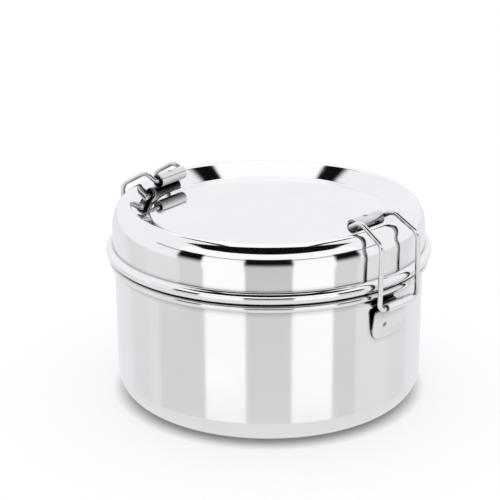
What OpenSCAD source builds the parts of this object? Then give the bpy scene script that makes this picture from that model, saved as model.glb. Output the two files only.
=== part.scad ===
// Clip-lock spice box: a round steel box with a neck, a dished lid held by two
// wire bails, and inside it seven cups, an inner plate and a spoon.
// Origin: centre of the flat base. +Z up. The right clip is on +X.

/* [Box] */
// Radius of the box wall, outside
wall_r = 70.1; // [69.6:0.1:70.4]
// Radius of the rounded bottom corner
corner_r = 11; // [7:0.5:14]
// Height of the middle of the lid's rolled bead, where box and lid meet
seam_z = 68.2; // [67.8:0.2:70]
// Thickness of the sheet that the box, the lid and the cups are pressed from
sheet = 0.7; // [0.5:0.1:0.8]
// Radius of the rolled bead round the box's mouth
box_bead_r = 1.65; // [1.2:0.05:1.8]
// Height of the neck above the seam
neck_rise = 4.4; // [3:0.1:5]

/* [Lid] */
// Radius of the lid's rolled bead
lid_bead_r = 2.65; // [2.2:0.05:2.8]
// Height of the crest of the lid's rim above the seam
crest_rise = 21.6; // [21.2:0.1:21.8]
// Radius of the crest of the rim
crest_r = 64; // [63.6:0.1:65]
// Radius of the flat panel in the middle of the lid
panel_r = 53.9; // [50:0.5:54]
// Depth of the flat panel below the crest
panel_drop = 5.4; // [4.8:0.1:5.6]

/* [Clips] */
// Diameter of the bail wire
wire_d = 2.2; // [2:0.1:2.4]
// Direction of the left clip, counter-clockwise from the right one
left_clip_angle = 188.6; // [180:0.2:192]
// Distance of the bail's pivot from the middle of the box
pivot_r = 75.2; // [75:0.1:77]
// Height of the bail's pivot below the seam
pivot_drop = 9.6; // [8.8:0.1:10]
// Length of the rolled grip on the bail's crossbar
grip_len = 18; // [14:0.5:18]
// Diameter of the rolled grip
grip_d = 6.2; // [5.4:0.1:6.4]
// Width of the bracket plate
bracket_w = 22; // [20:0.2:26]

/* [Inside] */
// Number of cups in the ring round the middle cup
ring_cups = 6; // [6]
// Diameter of a cup at its rolled lip
cup_d = 44.4; // [42:0.2:44.6]
// Height of a cup
cup_h = 46; // [35:1:50]
// Length of the spoon
spoon_len = 96; // [80:1:100]

/* [Hidden] */
$fn = 96;

lid_gap = 0.3;                               // running gap between lid and neck
neck_r = wall_r - lid_gap;                   // outside of the neck
lid_in_r = wall_r;                           // inside of the lid's skirt
lid_wall_r = lid_in_r + sheet;               // outside of the lid's wall
seat_gap = 0.4;                              // gap between the two beads
box_bead_z = seam_z - lid_bead_r - seat_gap - box_bead_r;
box_bead_mid = wall_r + 0.85;                // radius of the box bead's centre line
lid_bead_mid = lid_wall_r + 0.35;            // radius of the lid bead's centre line
crest_z = seam_z + crest_rise;
panel_z = crest_z - panel_drop;
shoulder_w = lid_wall_r - crest_r;           // half axes of the lid's shoulder
shoulder_h = 11;

wire_r = wire_d / 2;
bore_gap = 0.07;                             // radial play of the wire in its bores
bore_r = wire_r + bore_gap;
pivot_z = seam_z - pivot_drop;
barrel_r = bore_r + 0.85;
barrel_len = 17;
bar_r = 56.3;                                // where the crossbar lies over the lid
bar_z = seam_z + 22.6;
leg_y = 12.8;                                // half the legs' spacing at the pivot
top_y = 12.2;                                // and at the top of the legs
peak_y = 11;                                 // and at the peak
bar_y = grip_len / 2 + wire_r + 0.35;        // and beside the grip
top_z = seam_z + 18.8;
peak_r = 62.4;
peak_z = seam_z + 26.2;
pin_depth = 7.5;                             // how far a wire end reaches into the barrel

plate_t = 0.8;                               // thickness of the bracket's plate
plate_top = pivot_z - 2.2;
plate_low = plate_top - 13.4;
plate_lean = 1.8;                            // how far the plate's top stands off the wall
lean_z = plate_low + 3.2;                    // height at which the plate leaves the wall
low_corner = 4.5;
high_corner = 1.5;

ring_r = 45;                                 // ring of cup centres
cup_r = cup_d / 2;
cup_t = 0.6;
cup_foot = 8;                                // radius of a cup's bottom corner
cup_lip = 0.9;                               // radius of a cup's rolled lip
cup_wall_r = cup_r - cup_lip;
disc_z = sheet + cup_h + 0.3;                // underside of the inner plate
disc_r = 68.3;
disc_t = 0.8;
disc_lip = 3;
disc_top = disc_z + disc_t;
spoon_y = 27;
spoon_bowl_r = 13;
spoon_bowl_h = 5;
spoon_t = 1;
spoon_handle_w = 6;

function arc(x, y, r, a0, a1, n) =
    [for (i = [0:n]) let(a = a0 + (a1 - a0) * i / n) [x + r * cos(a), y + r * sin(a)]];
function bow(x, y, rx, ry, a0, a1, n) =
    [for (i = [0:n]) let(a = a0 + (a1 - a0) * i / n) [x + rx * cos(a), y + ry * sin(a)]];
function unit(v) = v / norm(v);

// Points of an arc of radius r that rounds the corner at b between a and c
function bend(a, b, c, r, n) =
    let(u = unit(b - a), w = unit(c - b), turn = acos(u * w),
        p = b - u * r * tan(turn / 2), side = unit(w - u * (u * w)))
    [for (i = [0:n]) let(t = turn * i / n) p + u * r * sin(t) + side * r * (1 - cos(t))];

// Half of the bail's centre line, from just outside the barrel to the crossbar
function half_bail(s) =
    let(pin = [pivot_r, s * (barrel_len / 2 + 0.15), pivot_z],
        foot = [pivot_r, s * leg_y, pivot_z],
        top = [pivot_r, s * top_y, top_z],
        peak = [peak_r, s * peak_y, peak_z],
        bar = [bar_r, s * bar_y, bar_z],
        mid = [bar_r, 0, bar_z])
    concat([pin], bend(pin, foot, top, 3, 4), bend(foot, top, peak, 5, 5),
           bend(top, peak, bar, 5, 5), bend(peak, bar, mid, 1.3, 3));

function flip(list) = [for (i = [len(list) - 1:-1:0]) list[i]];

// Direction of the path at point i
function heading(path, i) =
    i == 0 ? unit(path[1] - path[0])
    : i == len(path) - 1 ? unit(path[i] - path[i - 1])
    : unit(unit(path[i] - path[i - 1]) + unit(path[i + 1] - path[i]));

// Round wire along a path. No stretch of the path may point along aim.
module wire(path, r, sides) {
    aim = [cos(60), 0, sin(60)];
    last = len(path) - 1;
    points = [for (i = [0:last]) let(t = heading(path, i), u = unit(cross(aim, t)), v = cross(t, u))
              for (k = [0:sides - 1]) let(a = 360 * k / sides)
              path[i] + r * (u * cos(a) + v * sin(a))];
    skin = [for (i = [0:last - 1]) for (k = [0:sides - 1]) let(m = (k + 1) % sides)
            each [[i * sides + k, (i + 1) * sides + k, i * sides + m],
                  [i * sides + m, (i + 1) * sides + k, (i + 1) * sides + m]]];
    front = [for (k = [0:sides - 1]) k];
    back = [for (k = [sides - 1:-1:0]) last * sides + k];
    polyhedron(points, concat([front], skin, [back]), convexity = 6);
}

module left() { rotate([0, 0, left_clip_angle]) children(); }

module body_shell() {
    reach = acos((neck_r - box_bead_mid) / box_bead_r);
    low = acos((wall_r - box_bead_mid) / box_bead_r);
    neck_top = seam_z + neck_rise;
    in_r = neck_r - sheet;
    color([0.80, 0.80, 0.80])
        rotate_extrude()
            polygon(concat(
                [[0, 0]],
                arc(wall_r - corner_r, corner_r, corner_r, -90, 0, 8),
                arc(box_bead_mid, box_bead_z, box_bead_r, -low, reach, 12),
                [[neck_r, neck_top - 0.3], [neck_r - 0.3, neck_top], [in_r, neck_top]],
                [[in_r, box_bead_z + 2], [wall_r - sheet, box_bead_z - 2]],
                flip(arc(wall_r - corner_r, corner_r, corner_r - sheet, -90, 0, 8)),
                [[0, sheet]]));
}

module lid_shell() {
    reach = acos((lid_wall_r - lid_bead_mid) / lid_bead_r);
    under = acos((lid_in_r - lid_bead_mid) / lid_bead_r);
    wall_top = crest_z - shoulder_h;
    in_crest = crest_r - 0.4;
    color([0.82, 0.82, 0.83])
        rotate_extrude()
            polygon(concat(
                [[0, panel_z], [panel_r, panel_z]],
                flip(arc(crest_r, crest_z - 3, 3, 90, 119, 3)),
                flip(bow(crest_r, wall_top, shoulder_w, shoulder_h, 0, 85, 9)),
                flip(arc(lid_bead_mid, seam_z, lid_bead_r, -under, reach, 14)),
                bow(crest_r, wall_top, shoulder_w - sheet, shoulder_h - sheet, 0, 90, 8),
                [[in_crest, crest_z - sheet], [panel_r, panel_z - sheet], [0, panel_z - sheet]]));
}

module bracket_outline() {
    half = bracket_w / 2;
    hull() {
        for (s = [-1, 1]) {
            translate([s * (half - low_corner), plate_low + low_corner])
                circle(low_corner, $fn = 32);
            translate([s * (half - high_corner), plate_top - high_corner])
                circle(high_corner, $fn = 32);
        }
    }
}

// Section of the bracket's plate: it hugs the wall, then leans out
module plate_section() {
    polygon([[wall_r - 2, plate_low], [wall_r + plate_t, plate_low],
             [wall_r + plate_t, lean_z], [wall_r + plate_t + plate_lean, plate_top],
             [wall_r + plate_lean, plate_top], [wall_r, lean_z], [wall_r - 2, lean_z]]);
}

module hinge_bracket() {
    web_low = plate_top - 1.2;
    color([0.72, 0.72, 0.73])
        difference() {
            union() {
                intersection() {
                    rotate([0, 0, -20]) rotate_extrude(angle = 40, $fn = 180) plate_section();
                    translate([wall_r - 5, 0, 0])
                        rotate([90, 0, 90]) linear_extrude(10) bracket_outline();
                }
                // Web that leads the plate out to the barrel
                translate([0, barrel_len / 2, 0])
                    rotate([90, 0, 0])
                        linear_extrude(barrel_len)
                            polygon([[wall_r + plate_lean - 1.4, web_low],
                                     [wall_r + plate_lean + 0.3, web_low],
                                     [pivot_r + 1.1, pivot_z - 1.5],
                                     [pivot_r - 1.2, pivot_z + 1.4]]);
                translate([pivot_r, barrel_len / 2, pivot_z])
                    rotate([90, 0, 0]) cylinder(h = barrel_len, r = barrel_r);
            }
            cylinder(h = seam_z, r = wall_r, $fn = 180);
            translate([pivot_r, barrel_len, pivot_z])
                rotate([90, 0, 0]) cylinder(h = 2 * barrel_len, r = bore_r);
        }
}

module bail_wire() {
    pin_end = barrel_len / 2 - pin_depth;
    color([0.70, 0.70, 0.71]) {
        wire(concat(half_bail(1), flip(half_bail(-1))), wire_r * 0.995, 12);
        for (s = [-1, 1])
            translate([pivot_r, s * (pin_end + pin_depth / 2 + 0.2), pivot_z])
                rotate([90, 0, 0]) cylinder(h = pin_depth + 0.4, r = wire_r, center = true);
    }
}

module thumb_grip() {
    color([0.68, 0.68, 0.69])
        translate([bar_r, grip_len / 2, bar_z])
            rotate([90, 0, 0])
                difference() {
                    cylinder(h = grip_len, d = grip_d);
                    translate([0, 0, -1]) cylinder(h = grip_len + 2, r = bore_r);
                }
}

module inner_plate() {
    color([0.80, 0.80, 0.80])
        rotate_extrude()
            polygon([[0, disc_z], [disc_r - 1, disc_z], [disc_r, disc_z + 1],
                     [disc_r, disc_z + disc_lip], [disc_r - disc_t, disc_z + disc_lip],
                     [disc_r - disc_t, disc_top + 0.4], [disc_r - 1.2, disc_top], [0, disc_top]]);
}

module plate_knob() {
    head_r = 6.5;
    color([0.75, 0.75, 0.76])
        rotate_extrude()
            polygon(concat([[0, disc_top], [5, disc_top], [4.4, disc_top + 0.8],
                            [2.6, disc_top + 2.2], [2.6, disc_top + 4]],
                           arc(head_r - 1.6, disc_top + 5.8, 1.6, -60, 70, 6),
                           [[0, disc_top + 8.2]]));
}

module spice_cup() {
    top = sheet + cup_h;
    lip_mid = cup_r - cup_lip;
    color([0.78, 0.78, 0.79])
        rotate_extrude()
            polygon(concat(
                [[0, sheet]],
                arc(cup_wall_r - cup_foot, sheet + cup_foot, cup_foot, -90, 0, 6),
                arc(lip_mid, top - cup_lip, cup_lip, -80, 90, 6),
                [[lip_mid - 0.4, top], [cup_wall_r - cup_t, top - cup_lip]],
                flip(arc(cup_wall_r - cup_foot, sheet + cup_foot, cup_foot - cup_t, -90, 0, 6)),
                [[0, sheet + cup_t]]));
}

// Cup 1 stands in the middle, and the others stand round it
module cup_place(i) {
    a = (i - 2) * 360 / ring_cups + 30;
    d = i == 1 ? 0 : ring_r;
    translate([d * cos(a), d * sin(a), 0]) spice_cup();
}

module spice_spoon() {
    foot_r = 4;
    handle = spoon_len - spoon_bowl_r * 2;
    bowl_x = -spoon_len / 2 + spoon_bowl_r;
    color([0.76, 0.76, 0.77])
        translate([bowl_x, spoon_y, disc_top]) {
            rotate_extrude()
                polygon([[0, 0], [foot_r, 0], [9, 1.6], [12, 3.8],
                         [spoon_bowl_r, spoon_bowl_h], [12, spoon_bowl_h],
                         [11, 4.2], [8.3, 2.5], [foot_r, spoon_t], [0, spoon_t]]);
            translate([spoon_bowl_r - 1.2, -spoon_handle_w / 2, spoon_bowl_h - 1.2])
                cube([handle + 1.2, spoon_handle_w, 1.2]);
        }
}

body_shell();
lid_shell();
hinge_bracket();  // right_hinge_bracket
left() hinge_bracket();  // left_hinge_bracket
bail_wire();  // right_bail_wire
left() bail_wire();  // left_bail_wire
thumb_grip();  // right_thumb_grip
left() thumb_grip();  // left_thumb_grip
inner_plate();
plate_knob();
cup_place(1);  // spice_cup_1
cup_place(2);  // spice_cup_2
cup_place(3);  // spice_cup_3
cup_place(4);  // spice_cup_4
cup_place(5);  // spice_cup_5
cup_place(6);  // spice_cup_6
cup_place(7);  // spice_cup_7
spice_spoon();
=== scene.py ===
"""Looks of a clip-lock steel spice box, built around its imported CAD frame."""
import math

import bmesh
import bpy
from mathutils import Matrix, Vector


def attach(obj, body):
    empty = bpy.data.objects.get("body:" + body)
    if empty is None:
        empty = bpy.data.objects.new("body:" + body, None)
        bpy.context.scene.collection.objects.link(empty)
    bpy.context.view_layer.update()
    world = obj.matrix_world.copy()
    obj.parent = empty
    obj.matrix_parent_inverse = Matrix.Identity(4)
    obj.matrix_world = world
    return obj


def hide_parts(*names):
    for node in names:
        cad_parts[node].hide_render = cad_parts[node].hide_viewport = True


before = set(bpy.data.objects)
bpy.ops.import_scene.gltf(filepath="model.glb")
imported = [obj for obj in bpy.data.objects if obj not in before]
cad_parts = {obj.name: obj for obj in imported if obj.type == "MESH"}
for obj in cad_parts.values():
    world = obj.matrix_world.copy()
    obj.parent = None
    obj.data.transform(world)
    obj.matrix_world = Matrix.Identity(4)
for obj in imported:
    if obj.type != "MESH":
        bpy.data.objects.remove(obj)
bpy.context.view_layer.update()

MM = 0.001
TURN = 2 * math.pi

# ---- Sizes, in millimetres, the same as the CAD part's -------------------------
WALL_R = 70.1           # outside of the box wall
CORNER_R = 11.0         # rounded bottom corner
SHEET = 0.7
SEAM_Z = 68.2           # middle of the lid's rolled bead
LID_WALL_R = WALL_R + SHEET
LID_BEAD_R = 2.65
LID_BEAD_MID = LID_WALL_R + 0.35
BOX_BEAD_R = 1.65
BOX_BEAD_MID = WALL_R + 0.85
BOX_BEAD_Z = SEAM_Z - LID_BEAD_R - 0.4 - BOX_BEAD_R
NECK_R = WALL_R - 0.3
NECK_TOP = SEAM_Z + 4.4
CREST_Z = SEAM_Z + 21.6
CREST_R = 64.0
PANEL_R = 53.9
PANEL_Z = CREST_Z - 5.4
DISH_SLOPE = 29.0       # degrees
SHOULDER_H = 11.0

WIRE_R = 1.1
PIVOT_R = 75.2
PIVOT_Z = SEAM_Z - 9.6
BARREL_HALF = 8.5
PIN_DEPTH = 7.5         # how far the wire's ends reach into the barrel
LEG_Y = 12.8            # half the bail's width at its pivot, its elbow, its peak and its crossbar
TOP_Y = 12.2
PEAK_Y = 11.0
BAR_Y = 10.45
TOP_Z = SEAM_Z + 18.8
PEAK_R = 62.4
PEAK_Z = SEAM_Z + 26.2
BAR_R = 56.3
BAR_Z = SEAM_Z + 22.6
GRIP_HALF = 9.0
GRIP_R = 3.1
PLATE_T = 0.8
PLATE_HALF = 11.0
PLATE_TOP = PIVOT_Z - 2.2
PLATE_LOW = PLATE_TOP - 13.4
PLATE_LEAN = 1.8        # how far the plate's top stands off the wall
LEAN_Z = PLATE_LOW + 3.2
LEFT_CLIP = math.radians(188.6)
WELD_Y = -4.0           # the spot weld on the bracket's plate
WELD_Z = 49.0
WELD_R = 1.25

CUP_R = 22.2
CUP_LIP = 0.9
CUP_H = 46.0
CUP_T = 0.6
CUP_FOOT = 8.0
RING_R = 45.0
DISC_Z = SHEET + CUP_H + 0.3
DISC_R = 68.3

# ---- Where the camera stands ---------------------------------------------------
VIEW_AZ = math.radians(42.8)
VIEW_EL = math.radians(18.65)
VIEW_DIST = 0.664
VIEW_LENS = 104.7


# ---- Mesh helpers --------------------------------------------------------------
def arc(cx, cz, r, a0, a1, n, rz=None):
    """Points of an arc, or of an ellipse's bow when rz is given. Angles in degrees."""
    rz = r if rz is None else rz
    out = []
    for i in range(n + 1):
        a = math.radians(a0 + (a1 - a0) * i / n)
        out.append((cx + r * math.cos(a), cz + rz * math.sin(a)))
    return out


def with_supports(profile, longest=2.0, inset=0.1):
    """Adds a point close to each end of every long edge, so smooth shading stays flat on it."""
    out = [profile[0]]
    for p, q in zip(profile, profile[1:]):
        length = math.dist(p, q)
        if length > longest:
            for t in (inset / length, 1 - inset / length):
                out.append((p[0] + (q[0] - p[0]) * t, p[1] + (q[1] - p[1]) * t))
        out.append(q)
    return out


def finish_mesh(name, bm, sharp=50):
    """Makes an object from a bmesh in millimetres: smooth shaded, with sharp edges kept."""
    bmesh.ops.remove_doubles(bm, verts=bm.verts, dist=1e-4)
    bmesh.ops.recalc_face_normals(bm, faces=bm.faces)
    bmesh.ops.scale(bm, verts=bm.verts, vec=(MM, MM, MM))
    limit = math.radians(sharp)
    for e in bm.edges:
        if len(e.link_faces) == 2:
            e.smooth = e.calc_face_angle() < limit
    for f in bm.faces:
        f.smooth = True
    mesh = bpy.data.meshes.new(name)
    bm.to_mesh(mesh)
    bm.free()
    obj = bpy.data.objects.new(name, mesh)
    bpy.context.scene.collection.objects.link(obj)
    return obj


def lathe(name, profile, steps=256, centre=(0, 0)):
    """Revolves a profile of (radius, height) that starts and ends on the axis, or closes on itself."""
    bm = bmesh.new()
    rings = []
    for r, z in with_supports(profile):
        if r < 1e-6:
            rings.append([bm.verts.new((centre[0], centre[1], z))] * steps)
            continue
        ring = []
        for k in range(steps):
            a = TURN * k / steps
            ring.append(bm.verts.new((centre[0] + r * math.cos(a), centre[1] + r * math.sin(a), z)))
        rings.append(ring)
    for a, b in zip(rings, rings[1:]):
        for k in range(steps):
            m = (k + 1) % steps
            corners = []
            for v in (a[k], a[m], b[m], b[k]):
                if v not in corners:
                    corners.append(v)
            if len(corners) > 2:
                bm.faces.new(corners)
    return finish_mesh(name, bm)


def rounded(points, radii, n=8):
    """Rounds the inner corners of a 3D path with arcs."""
    out = [Vector(points[0])]
    for i in range(1, len(points) - 1):
        a, b, c = (Vector(p) for p in points[i - 1:i + 2])
        u = (b - a).normalized()
        w = (c - b).normalized()
        turn = u.angle(w)
        r = radii[i - 1]
        if turn < 1e-3 or r <= 0:
            out.append(b)
            continue
        side = (w - u * u.dot(w)).normalized()
        start = b - u * r * math.tan(turn / 2)
        for k in range(n + 1):
            t = turn * k / n
            out.append(start + u * r * math.sin(t) + side * r * (1 - math.cos(t)))
    out.append(Vector(points[-1]))
    return out


def tube(name, path, radius):
    """Round wire along a path, with slightly rounded ends."""
    bm = bmesh.new()
    head = (path[1] - path[0]).normalized()
    normal = head.orthogonal().normalized()
    rings = []
    nose = 0.25         # how much each end is rounded
    sides = 28
    stations = [(path[0], radius - nose)]
    stations += [(path[0] + head * nose, radius)]
    stations += [(p, radius) for p in path[1:-1]]
    tail = (path[-1] - path[-2]).normalized()
    stations += [(path[-1] - tail * nose, radius), (path[-1], radius - nose)]
    for i, (p, r) in enumerate(stations):
        if i == 0:
            t = head
        elif i == len(stations) - 1:
            t = tail
        else:
            t = ((stations[i + 1][0] - p).normalized() + (p - stations[i - 1][0]).normalized()).normalized()
        normal = (normal - t * normal.dot(t)).normalized()
        binormal = t.cross(normal)
        ring = []
        for k in range(sides):
            a = TURN * k / sides
            ring.append(bm.verts.new(p + normal * r * math.cos(a) + binormal * r * math.sin(a)))
        rings.append(ring)
    for a, b in zip(rings, rings[1:]):
        for k in range(sides):
            m = (k + 1) % sides
            bm.faces.new((a[k], a[m], b[m], b[k]))
    bm.faces.new(rings[0])
    bm.faces.new(list(reversed(rings[-1])))
    return finish_mesh(name, bm, sharp=70)


def sheet_strip(name, mid, thick, ys, dent):
    """Sheet metal with the cross-section mid, a line of (x, z), drawn along Y and then dented."""
    left, right = [], []
    for i, p in enumerate(mid):
        before = mid[max(i - 1, 0)]
        after = mid[min(i + 1, len(mid) - 1)]
        d = Vector((after[0] - before[0], after[1] - before[1])).normalized()
        n = Vector((-d[1], d[0])) * thick / 2
        left.append((p[0] + n[0], p[1] + n[1]))
        right.append((p[0] - n[0], p[1] - n[1]))
    bm = bmesh.new()
    rings = []
    for y in ys:
        row = []
        for x, z in left + right[::-1]:
            x, z = dent(x, y, z)
            row.append(bm.verts.new((x, y, z)))
        rings.append(row)
    count = len(rings[0])
    for a, b in zip(rings, rings[1:]):
        for k in range(count):
            m = (k + 1) % count
            bm.faces.new((a[k], a[m], b[m], b[k]))
    for ring in (rings[0], rings[-1]):
        for k in range(len(mid) - 1):
            bm.faces.new((ring[k], ring[k + 1], ring[count - 2 - k], ring[count - 1 - k]))
    return finish_mesh(name, bm, sharp=45)


def solid_sheet(obj, thick, bevel):
    """Gives a one-sided surface its sheet thickness, rounds its cut edges and applies both."""
    skin = obj.modifiers.new("sheet", "SOLIDIFY")
    skin.thickness = thick * MM
    skin.offset = 0
    edge = obj.modifiers.new("edge", "BEVEL")
    edge.width = bevel * MM
    edge.segments = 2
    edge.limit_method = "ANGLE"
    edge.angle_limit = math.radians(50)
    apply_modifiers(obj)
    return obj


def apply_modifiers(obj):
    bpy.context.view_layer.update()
    graph = bpy.context.evaluated_depsgraph_get()
    mesh = bpy.data.meshes.new_from_object(obj.evaluated_get(graph))
    obj.modifiers.clear()
    obj.data = mesh
    for p in mesh.polygons:
        p.use_smooth = True
    mesh.set_sharp_from_angle(angle=math.radians(48))


def turned(obj, angle):
    obj.data.transform(Matrix.Rotation(angle, 4, "Z"))
    return obj


# ---- Materials -----------------------------------------------------------------
def node(tree, kind, **values):
    """Adds a node. Keyword values set its properties, and inputs by index through in0, in1 and so on."""
    n = tree.nodes.new(kind)
    for key, value in values.items():
        if key.startswith("in") and key[2:].isdigit():
            n.inputs[int(key[2:])].default_value = value
        else:
            setattr(n, key, value)
    return n


def math_node(tree, operation, a, b=None, c=None):
    n = node(tree, "ShaderNodeMath", operation=operation)
    for i, v in enumerate((a, b, c)):
        if v is None:
            continue
        if isinstance(v, (int, float)):
            n.inputs[i].default_value = v
        else:
            tree.links.new(v, n.inputs[i])
    return n.outputs[0]


def steel(name, tint, rough, grain, crevice=3.0, depth=1.6, axis="round", spot=None):
    """Polished stainless steel.

    The polish leaves hair lines, round the axis or along it, that tilt the surface a little.
    Handling leaves cloudy patches and a few scratches that only change the roughness.
    Crevices, out to crevice millimetres, get painted shade: ambient occlusion darkens the colour there.
    A spot, given as a point and a radius, darkens the colour round the weld on a bracket, and is painted
    shade in a grip's dent.
    """
    grain_scale = 900       # hair lines per metre
    smudge = 0.05           # how much rougher the cloudy patches are
    mat = bpy.data.materials.new(name)
    mat.use_nodes = True
    tree = mat.node_tree
    tree.nodes.clear()
    out = node(tree, "ShaderNodeOutputMaterial")
    bsdf = node(tree, "ShaderNodeBsdfPrincipled")
    bsdf.inputs["Metallic"].default_value = 1.0
    tree.links.new(bsdf.outputs[0], out.inputs[0])
    link = tree.links.new
    place = node(tree, "ShaderNodeTexCoord")
    parts = node(tree, "ShaderNodeSeparateXYZ")
    link(place.outputs["Object"], parts.inputs[0])
    x, y, z = parts.outputs
    radius = math_node(tree, "SQRT", math_node(tree, "ADD", math_node(tree, "MULTIPLY", x, x),
                                               math_node(tree, "MULTIPLY", y, y)))
    around = math_node(tree, "ARCTAN2", y, x)
    lines = node(tree, "ShaderNodeCombineXYZ")
    if axis == "round":
        link(math_node(tree, "MULTIPLY", radius, grain_scale * 2.2), lines.inputs[0])
        link(math_node(tree, "MULTIPLY", z, grain_scale * 2.2), lines.inputs[1])
        link(math_node(tree, "MULTIPLY", around, 2.4), lines.inputs[2])
    else:
        link(math_node(tree, "MULTIPLY", x, grain_scale), lines.inputs[0])
        link(math_node(tree, "MULTIPLY", y, grain_scale), lines.inputs[1])
        link(math_node(tree, "MULTIPLY", z, grain_scale * 0.05), lines.inputs[2])
    hair = node(tree, "ShaderNodeTexNoise", in2=1.0, in3=3.0, in4=0.6)
    link(lines.outputs[0], hair.inputs["Vector"])
    bump = node(tree, "ShaderNodeBump")
    bump.inputs["Strength"].default_value = grain
    bump.inputs["Distance"].default_value = 0.0001
    link(hair.outputs["Fac"], bump.inputs["Height"])
    link(bump.outputs[0], bsdf.inputs["Normal"])

    cloud = node(tree, "ShaderNodeTexNoise", in2=38.0, in3=4.0, in4=0.55)
    link(place.outputs["Object"], cloud.inputs["Vector"])
    scratch_place = node(tree, "ShaderNodeMapping")
    scratch_place.inputs["Scale"].default_value = (900, 60, 160)
    scratch_place.inputs["Rotation"].default_value = (0.4, 0.7, 0.5)
    link(place.outputs["Object"], scratch_place.inputs[0])
    scratch = node(tree, "ShaderNodeTexNoise", in2=1.0, in3=2.0, in4=0.5)
    link(scratch_place.outputs[0], scratch.inputs["Vector"])
    scratch_mask = node(tree, "ShaderNodeMapRange", in1=0.66, in2=0.74, in3=0.0, in4=0.05)
    link(scratch.outputs["Fac"], scratch_mask.inputs[0])
    patches = node(tree, "ShaderNodeMapRange", in1=0.35, in2=0.75, in3=rough, in4=rough + smudge)
    link(cloud.outputs["Fac"], patches.inputs[0])
    link(math_node(tree, "ADD", patches.outputs[0], scratch_mask.outputs[0]), bsdf.inputs["Roughness"])

    tone = node(tree, "ShaderNodeMix", data_type="RGBA")
    shade = tuple(c * 0.965 for c in tint)
    tone.inputs[6].default_value = (*tint, 1)
    tone.inputs[7].default_value = (*shade, 1)
    soft = node(tree, "ShaderNodeMapRange", in1=0.3, in2=0.8, in3=0.0, in4=1.0)
    link(cloud.outputs["Fac"], soft.inputs[0])
    link(soft.outputs[0], tone.inputs[0])

    # Painted shade: ambient occlusion darkens the base colour in crevices and where parts meet.
    painted_shade_ao = node(tree, "ShaderNodeAmbientOcclusion", samples=12)
    painted_shade_ao.inputs["Distance"].default_value = crevice * MM
    painted_shade_and_marks = math_node(tree, "POWER", painted_shade_ao.outputs["AO"], depth)
    # The spot darkens the colour round a point: round the weld on a bracket, and as painted shade in the
    # dent on top of a grip.
    if spot:
        point, size = spot
        away = node(tree, "ShaderNodeVectorMath", operation="DISTANCE")
        away.inputs[1].default_value = [c * MM for c in point]
        link(place.outputs["Object"], away.inputs[0])
        spot_darkening = node(tree, "ShaderNodeMapRange", interpolation_type="SMOOTHSTEP",
                    in1=size * 0.45 * MM, in2=size * 1.3 * MM, in3=0.3, in4=1.0)
        link(away.outputs["Value"], spot_darkening.inputs[0])
        painted_shade_and_marks = math_node(tree, "MULTIPLY", painted_shade_and_marks, spot_darkening.outputs[0])
    # Base colour: the random tone, times the painted shade and the spot's darkening.
    tone_marks_and_painted_shade = node(tree, "ShaderNodeVectorMath", operation="SCALE")
    link(tone.outputs[2], tone_marks_and_painted_shade.inputs[0])
    link(painted_shade_and_marks, tone_marks_and_painted_shade.inputs["Scale"])
    link(tone_marks_and_painted_shade.outputs[0], bsdf.inputs["Base Color"])
    return mat


def dress(obj, mat):
    obj.data.materials.clear()
    obj.data.materials.append(mat)
    return obj


# ---- The pieces ----------------------------------------------------------------
def make_box_shell():
    low = math.degrees(math.acos((WALL_R - BOX_BEAD_MID) / BOX_BEAD_R))
    reach = math.degrees(math.acos((NECK_R - BOX_BEAD_MID) / BOX_BEAD_R))
    inner = NECK_R - SHEET
    profile = [(0, 0), (WALL_R - CORNER_R, 0)]
    profile += arc(WALL_R - CORNER_R, CORNER_R, CORNER_R, -90, 0, 28)[1:]
    profile += arc(BOX_BEAD_MID, BOX_BEAD_Z, BOX_BEAD_R, -low, reach, 26)
    profile += arc(NECK_R - 0.35, NECK_TOP - 0.35, 0.35, 0, 180, 10)
    profile += [(inner, BOX_BEAD_Z + 2), (WALL_R - SHEET, BOX_BEAD_Z - 2)]
    profile += arc(WALL_R - CORNER_R, CORNER_R, CORNER_R - SHEET, 0, -90, 20)
    profile += [(0, SHEET)]
    return lathe("box_shell", profile)


def make_lid():
    reach = math.degrees(math.acos((LID_WALL_R - LID_BEAD_MID) / LID_BEAD_R))
    under = math.degrees(math.acos((WALL_R - LID_BEAD_MID) / LID_BEAD_R))
    wall_top = CREST_Z - SHOULDER_H
    width = LID_WALL_R - CREST_R
    profile = [(0, PANEL_Z)]
    fillet = 2.0
    half_turn = math.tan(math.radians(DISH_SLOPE / 2))
    profile += arc(PANEL_R - fillet * half_turn, PANEL_Z + fillet, fillet, -90, DISH_SLOPE - 90, 8)
    profile += arc(CREST_R, CREST_Z - 3.0, 3.0, 90 + DISH_SLOPE, 90, 14)
    profile += arc(CREST_R, wall_top, width, 90, 0, 40, rz=SHOULDER_H)[1:]
    profile += arc(LID_BEAD_MID, SEAM_Z, LID_BEAD_R, reach, -under, 40)
    profile += arc(CREST_R, wall_top, width - SHEET, 0, 90, 20, rz=SHOULDER_H - SHEET)
    profile += [(CREST_R - 0.4, CREST_Z - SHEET), (PANEL_R, PANEL_Z - SHEET), (0, PANEL_Z - SHEET)]
    return lathe("lid_pressing", profile)


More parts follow.
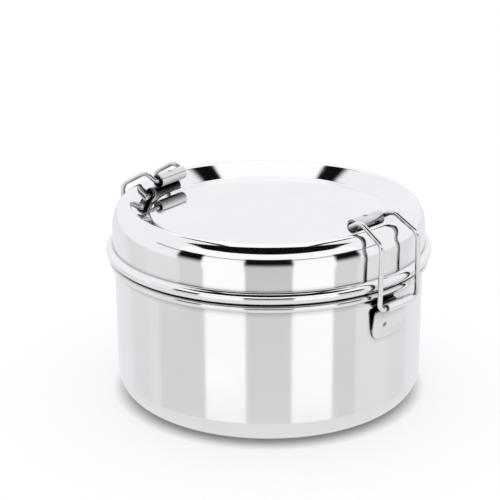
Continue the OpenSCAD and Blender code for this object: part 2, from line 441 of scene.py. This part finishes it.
def make_bracket(side):
    """Plate that hugs the wall, leans out above, and has its top led out and rolled into the barrel."""
    mid_r = WALL_R + PLATE_T / 2
    roll = WIRE_R + 0.12 + PLATE_T / 2
    low_corner, high_corner = 4.5, 1.5
    top_r = mid_r + PLATE_LEAN
    lead = [(top_r + 0.12, PLATE_TOP + 0.35), (top_r + 0.5, PLATE_TOP + 0.65)]
    lead += [(top_r + 1.2, PLATE_TOP + 0.75), (top_r + 2.0, PLATE_TOP + 0.7)]
    lead += arc(PIVOT_R, PIVOT_Z, roll, -70, 225, 40)
    bm = bmesh.new()
    columns = []
    steps = int(4 * PLATE_HALF + 0.5)
    for k in range(steps + 1):
        y = PLATE_HALF * (2 * k / steps - 1)
        over_low = max(0.0, abs(y) - (PLATE_HALF - low_corner))
        over_high = max(0.0, abs(y) - (PLATE_HALF - high_corner))
        start = PLATE_LOW + low_corner - math.sqrt(low_corner ** 2 - over_low ** 2)
        end = PLATE_TOP - high_corner + math.sqrt(high_corner ** 2 - over_high ** 2)
        column = []
        rows = 36
        for i in range(rows + 1):
            z = start + (end - start) * i / rows
            lean = PLATE_LEAN * max(0.0, (z - LEAN_Z) / (PLATE_TOP - LEAN_Z))
            d = math.hypot(y - WELD_Y, z - WELD_Z) / WELD_R
            r = mid_r + lean - 0.35 * math.exp(-(d ** 2) * 1.5)
            column.append((math.sqrt(r * r - y * y), y, z))
        if abs(y) <= BARREL_HALF:
            sag = math.sqrt(top_r ** 2 - y * y) - top_r
            for i, (x, z) in enumerate(lead):
                column.append((x + sag * max(0.0, 1 - (i + 1) / 4), y, z))
        columns.append([bm.verts.new(p) for p in column])
    for a, b in zip(columns, columns[1:]):
        for i in range(min(len(a), len(b)) - 1):
            bm.faces.new((a[i], a[i + 1], b[i + 1], b[i]))
    obj = finish_mesh(side + "_bracket", bm)
    return solid_sheet(obj, PLATE_T, 0.16)


def make_bail(side):
    def half_path(s):
        return [(PIVOT_R, s * (BARREL_HALF - PIN_DEPTH), PIVOT_Z), (PIVOT_R, s * LEG_Y, PIVOT_Z),
                (PIVOT_R, s * TOP_Y, TOP_Z), (PEAK_R, s * PEAK_Y, PEAK_Z), (BAR_R, s * BAR_Y, BAR_Z)]
    path = rounded(half_path(1) + half_path(-1)[::-1], [3, 5, 5, 1.3, 1.3, 5, 5, 3], 12)
    return tube(side + "_bail", path, WIRE_R)


def make_grip(side):
    """Sheet rolled round the crossbar: one loose outer turn, then a turn that winds in to the wire."""
    thick = 0.6
    outer = GRIP_R - thick / 2
    inner = WIRE_R + 0.12 + thick / 2
    mid = []
    steps = 110
    for i in range(steps + 1):
        t = i / steps
        a = math.radians(150 - 640 * t)
        shrink = max(0.0, (t - 0.42) / 0.58)
        r = outer + (inner - outer) * shrink ** 0.85
        mid.append((BAR_R + r * math.cos(a), BAR_Z + r * math.sin(a)))

    def dent(x, y, z):
        up = (z - BAR_Z) / GRIP_R
        d = math.hypot((x - BAR_R) / 0.9, y / 1.9)
        if up > 0.6 and d < 2.5:
            z -= 0.55 * math.exp(-(d ** 4))
        return x, z

    ys = [-GRIP_HALF + 2 * GRIP_HALF * i / 60 for i in range(61)]
    return sheet_strip(side + "_grip", mid, thick, ys, dent)


def make_cup(index):
    top = SHEET + CUP_H
    wall = CUP_R - CUP_LIP
    a = math.radians((index - 2) * 60 + 30)
    d = 0 if index == 1 else RING_R
    profile = [(0, SHEET)]
    profile += arc(wall - CUP_FOOT, SHEET + CUP_FOOT, CUP_FOOT, -90, 0, 14)
    profile += arc(wall, top - CUP_LIP, CUP_LIP, -90, 150, 16)
    profile += [(wall - CUP_T, top - CUP_LIP - 0.6)]
    profile += arc(wall - CUP_FOOT, SHEET + CUP_FOOT, CUP_FOOT - CUP_T, 0, -90, 12)
    profile += [(0, SHEET + CUP_T)]
    return lathe(f"cup_{index}", profile, 128, (d * math.cos(a), d * math.sin(a)))


def make_inner_plate():
    profile = [(0, DISC_Z)] + arc(DISC_R - 1, DISC_Z + 1, 1, -90, 0, 8)
    profile += arc(DISC_R - 0.4, DISC_Z + 2.6, 0.4, 0, 180, 8)
    profile += arc(DISC_R - 1.2, DISC_Z + 1.2, 0.4, 0, -90, 6)
    profile += [(56, DISC_Z + 0.8), (54, DISC_Z + 1.3), (52, DISC_Z + 0.8), (0, DISC_Z + 0.8)]
    return lathe("inner_plate_pressing", profile)


def make_knob():
    z = DISC_Z + 0.8
    profile = [(0, z), (5, z)] + arc(4.7, z + 0.3, 0.3, -90, 60, 5)
    profile += arc(4.6, z + 2.6, 2.0, 270, 180, 8) + [(2.6, z + 3.8)]
    profile += arc(4.9, z + 5.8, 1.6, -100, 70, 16) + [(3, z + 7.7), (0, z + 8.1)]
    return lathe("knob", profile, 96)


def make_spoon():
    """Round-bowled spoon lying on the inner plate."""
    z0 = DISC_Z + 0.8 + 0.55
    x0, length, y0 = -47.6, 95.0, 27.0
    bm = bmesh.new()
    rows, cols = 90, 16
    grid = []
    for i in range(rows + 1):
        u = i / rows
        x = u * length
        bowl = max(0.0, 1 - ((x - 13) / 13) ** 2)
        neck = 1 / (1 + math.exp(-(x - 25) / 1.6))
        end = max(0.0, (x - 30) / 65)
        width = max(12.6 * math.sqrt(bowl), neck * (2.4 + 1.4 * end))
        if x > length - 3.4:
            width *= math.sqrt(max(0.02, 1 - ((x - length + 3.4) / 3.4) ** 2))
        if i == 0:
            width = 0.5
        rim = 4.0 * (1 - neck) + neck * (3.9 - 3.4 * math.sin(math.pi * min(1, end)) * 0.3)
        deep = 3.9 * bowl * (1 - neck)
        row = []
        for k in range(cols + 1):
            v = 2 * k / cols - 1
            z = z0 + rim - deep * (1 - v * v) - neck * 0.5 * v * v
            row.append(bm.verts.new((x0 + x, y0 + v * width, z)))
        grid.append(row)
    for a, b in zip(grid, grid[1:]):
        for k in range(cols):
            bm.faces.new((a[k], b[k], b[k + 1], a[k + 1]))
    obj = finish_mesh("spoon", bm)
    return solid_sheet(obj, 0.9, 0.2)


def build():
    # Every steel gets painted shade in its crevices; the wire, grips and brackets reach 6 to 7 mm and darken
    # most.
    box_mat = steel("box_polish", (0.90, 0.885, 0.885), 0.055, 0.05, 3.0, 1.3)
    lid_mat = steel("lid_polish", (0.91, 0.90, 0.905), 0.035, 0.03, 1.8, 0.6)
    wire_mat = steel("wire_polish", (0.86, 0.85, 0.85), 0.07, 0.10, 7.0, 2.2, axis="long")
    cup_mat = steel("cup_polish", (0.88, 0.875, 0.87), 0.08, 0.10)
    plate_mat = steel("plate_polish", (0.88, 0.875, 0.87), 0.09, 0.12)
    spoon_mat = steel("spoon_polish", (0.88, 0.875, 0.87), 0.08, 0.08, axis="long")
    weld_r = WALL_R + PLATE_T + PLATE_LEAN * (WELD_Z - LEAN_Z) / (PLATE_TOP - LEAN_Z)
    weld = Vector((math.sqrt(weld_r ** 2 - WELD_Y ** 2), WELD_Y, WELD_Z))

    def add(obj, mat, body, slot, *nodes):
        dress(obj, mat)
        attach(obj, body)
        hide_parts(*nodes)

    add(make_box_shell(), box_mat, "box", "box_steel", "body_shell")
    add(make_lid(), lid_mat, "lid", "lid_steel", "lid_shell")
    for side, angle in (("right", 0.0), ("left", LEFT_CLIP)):
        spot = (Matrix.Rotation(angle, 3, "Z") @ weld, WELD_R)
        # Painted shade in the dent on top of the grip: a dark spot there.
        dent_shade = (Matrix.Rotation(angle, 3, "Z") @ Vector((BAR_R, 0, BAR_Z + GRIP_R - 0.3)), 1.2)
        grip_mat = steel(side + "_grip_polish", (0.76, 0.75, 0.75), 0.08, 0.10, 7.0, 2.0, "long", dent_shade)
        bracket_mat = steel(side + "_bracket_polish", (0.88, 0.87, 0.87), 0.07, 0.06, 6.0, 2.0, "long", spot)
        add(turned(make_bracket(side), angle), bracket_mat, "box", "bracket_steel", side + "_hinge_bracket")
        add(turned(make_bail(side), angle), wire_mat, side + "_bail", "wire_steel", side + "_bail_wire")
        add(turned(make_grip(side), angle), grip_mat, side + "_grip", "grip_steel", side + "_thumb_grip")
    for i in range(1, 8):
        add(make_cup(i), cup_mat, f"cup_{i}", "cup_steel", f"spice_cup_{i}")
    add(make_inner_plate(), plate_mat, "plate", "plate_steel", "inner_plate")
    add(make_knob(), plate_mat, "plate", "plate_steel", "plate_knob")
    add(make_spoon(), spoon_mat, "spoon", "spoon_steel", "spice_spoon")


# ---- Stage ---------------------------------------------------------------------
def make_camera():
    data = bpy.data.cameras.new("camera")
    cam = bpy.data.objects.new("camera", data)
    bpy.context.scene.collection.objects.link(cam)
    back = Vector((math.sin(VIEW_AZ) * math.cos(VIEW_EL), -math.cos(VIEW_AZ) * math.cos(VIEW_EL),
                   math.sin(VIEW_EL)))
    cam.location = Vector((0, 0, SEAM_Z * MM)) + back * VIEW_DIST
    cam.rotation_euler = back.to_track_quat("Z", "Y").to_euler()
    data.lens = VIEW_LENS
    data.sensor_width = 36
    data.shift_x = -0.0376
    data.shift_y = -0.0134
    data.clip_end = 50
    bpy.context.scene.camera = cam


def make_floor():
    bm = bmesh.new()
    bmesh.ops.create_circle(bm, cap_ends=True, segments=96, radius=6000)
    floor = finish_mesh("floor", bm)
    mat = bpy.data.materials.new("floor")
    mat.use_nodes = True
    tree = mat.node_tree
    bsdf = tree.nodes["Principled BSDF"]
    bsdf.inputs["Base Color"].default_value = (0.43, 0.43, 0.44, 1)
    bsdf.inputs["Roughness"].default_value = 0.6
    bsdf.inputs["Specular IOR Level"].default_value = 0.0
    bsdf.inputs["Emission Color"].default_value = (1.0, 1.0, 1.0, 1)
    # Painted contact shadow: the floor glows, and glows less where ambient occlusion finds the box within 7
    # mm.
    painted_shade_ao = node(tree, "ShaderNodeAmbientOcclusion", samples=12)
    painted_shade_ao.inputs["Distance"].default_value = 7 * MM
    floor_glow_with_painted_shadow = node(tree, "ShaderNodeMapRange", in1=0.3, in2=0.95, in3=0.16, in4=0.57)
    tree.links.new(painted_shade_ao.outputs["AO"], floor_glow_with_painted_shadow.inputs[0])
    tree.links.new(floor_glow_with_painted_shadow.outputs[0], bsdf.inputs["Emission Strength"])
    dress(floor, mat)
    floor.visible_glossy = False


def make_world():
    """A white studio, drawn by direction, with dark cards where the steel shows dark bands."""
    world = bpy.data.worlds.new("studio")
    bpy.context.scene.world = world
    world.use_nodes = True
    tree = world.node_tree
    tree.nodes.clear()
    link = tree.links.new
    place = node(tree, "ShaderNodeTexCoord")
    right = (math.cos(VIEW_AZ), math.sin(VIEW_AZ), 0)
    far = (-math.sin(VIEW_AZ), math.cos(VIEW_AZ), 0)

    def along(axis):
        n = node(tree, "ShaderNodeVectorMath", operation="DOT_PRODUCT")
        n.inputs[1].default_value = axis
        link(place.outputs["Generated"], n.inputs[0])
        return n.outputs["Value"]

    x, y, z = along(right), along(far), along((0, 0, 1))
    ax = math_node(tree, "ABSOLUTE", x)
    turn = math_node(tree, "MULTIPLY", math_node(tree, "ARCTAN2", ax, math_node(tree, "MULTIPLY", y, -1.0)),
                     180 / math.pi)
    lift = math_node(tree, "MULTIPLY", math_node(tree, "ARCSINE", z), 180 / math.pi)

    def step(v, at, soft):
        n = node(tree, "ShaderNodeMapRange", interpolation_type="SMOOTHSTEP", in1=at - soft, in2=at + soft)
        link(v, n.inputs[0])
        return n.outputs[0]

    def band(v, lo, hi, soft):
        return math_node(tree, "SUBTRACT", step(v, lo, soft), step(v, hi, soft))

    def both(*masks):
        out = masks[0]
        for m in masks[1:]:
            out = math_node(tree, "MULTIPLY", out, m)
        return out

    def over(base, colour, mask):
        n = node(tree, "ShaderNodeMix", data_type="RGBA")
        link(base, n.inputs[6])
        n.inputs[7].default_value = (*colour, 1)
        link(mask, n.inputs[0])
        return n.outputs[2]

    def grey(v, blue=0.0):
        return (v, v * (1 - 0.006), v * (1 + blue))

    start = node(tree, "ShaderNodeRGB")
    start.outputs[0].default_value = (0.96, 0.955, 1.0, 1)
    c = start.outputs[0]
    far_side = step(y, 0.0, 0.03)
    near_side = math_node(tree, "SUBTRACT", 1.0, far_side)
    low = band(lift, -95, -4, 3.0)
    low_centre = band(lift, -95, 12, 3.0)
    left_half = step(math_node(tree, "MULTIPLY", x, -1.0), 0.0, 0.02)
    lid_sees = step(lift, -20.85, 0.35)
    body_sees = math_node(tree, "SUBTRACT", 1.0, lid_sees)
    c = over(c, grey(0.82), both(step(turn, 66, 2), low))
    c = over(c, grey(0.785), both(band(turn, 99, 122, 5), low))
    c = over(c, grey(0.86, 0.05), both(step(turn, 126, 6), low))
    centre = band(turn, -5, 17, 1.6)
    beside = band(turn, 47.5, 67, 1.6)
    c = over(c, grey(0.72), both(centre, low_centre))
    c = over(c, grey(0.62), both(centre, low_centre, lid_sees))
    c = over(c, grey(0.72), both(beside, low_centre))
    c = over(c, grey(0.73), both(band(turn, 47.5, 88, 1.6), low, left_half, body_sees))
    c = over(c, grey(1.10), both(band(turn, 17, 47.5, 1.6), band(lift, -30, 50, 2)))
    c = over(c, grey(1.10), both(band(turn, -5, 70, 3), band(lift, 22.5, 50, 1.5)))
    dark_bands = math_node(tree, "ADD", centre, beside)
    black_block = math_node(tree, "SUBTRACT", step(lift, 1.5, 7.0), step(lift, 22.5, 1.5))
    c = over(c, grey(0.42), both(step(turn, 17, 1.5), band(lift, 17.5, 21.0, 1.2), near_side))
    c = over(c, grey(0.004), both(dark_bands, black_block))
    c = over(c, grey(0.83), band(lift, -95, -26.5, 2.5))
    c = over(c, grey(0.004), both(band(ax, -1, 0.62, 0.03), step(z, 0.69, 0.015), near_side))
    c = over(c, grey(0.004), both(band(ax, 0.255, 0.335, 0.012), step(z, 0.76, 0.01), far_side))
    c = over(c, grey(1.12), both(band(ax, -1, 0.255, 0.012), step(z, 0.6, 0.05), far_side))
    steel_sees = node(tree, "ShaderNodeBackground")
    link(c, steel_sees.inputs[0])
    plain = node(tree, "ShaderNodeBackground")
    plain.inputs[0].default_value = (1, 1, 1, 1)
    plain.inputs[1].default_value = 1.06
    rays = node(tree, "ShaderNodeLightPath")
    mix = node(tree, "ShaderNodeMixShader")
    link(rays.outputs["Is Glossy Ray"], mix.inputs[0])
    link(plain.outputs[0], mix.inputs[1])
    link(steel_sees.outputs[0], mix.inputs[2])
    out = node(tree, "ShaderNodeOutputWorld")
    link(mix.outputs[0], out.inputs[0])


def make_stage():
    make_camera()
    make_floor()
    make_world()
    bpy.context.scene.view_settings.view_transform = "Standard"
    bpy.context.scene.view_settings.look = "None"


build()
make_stage()
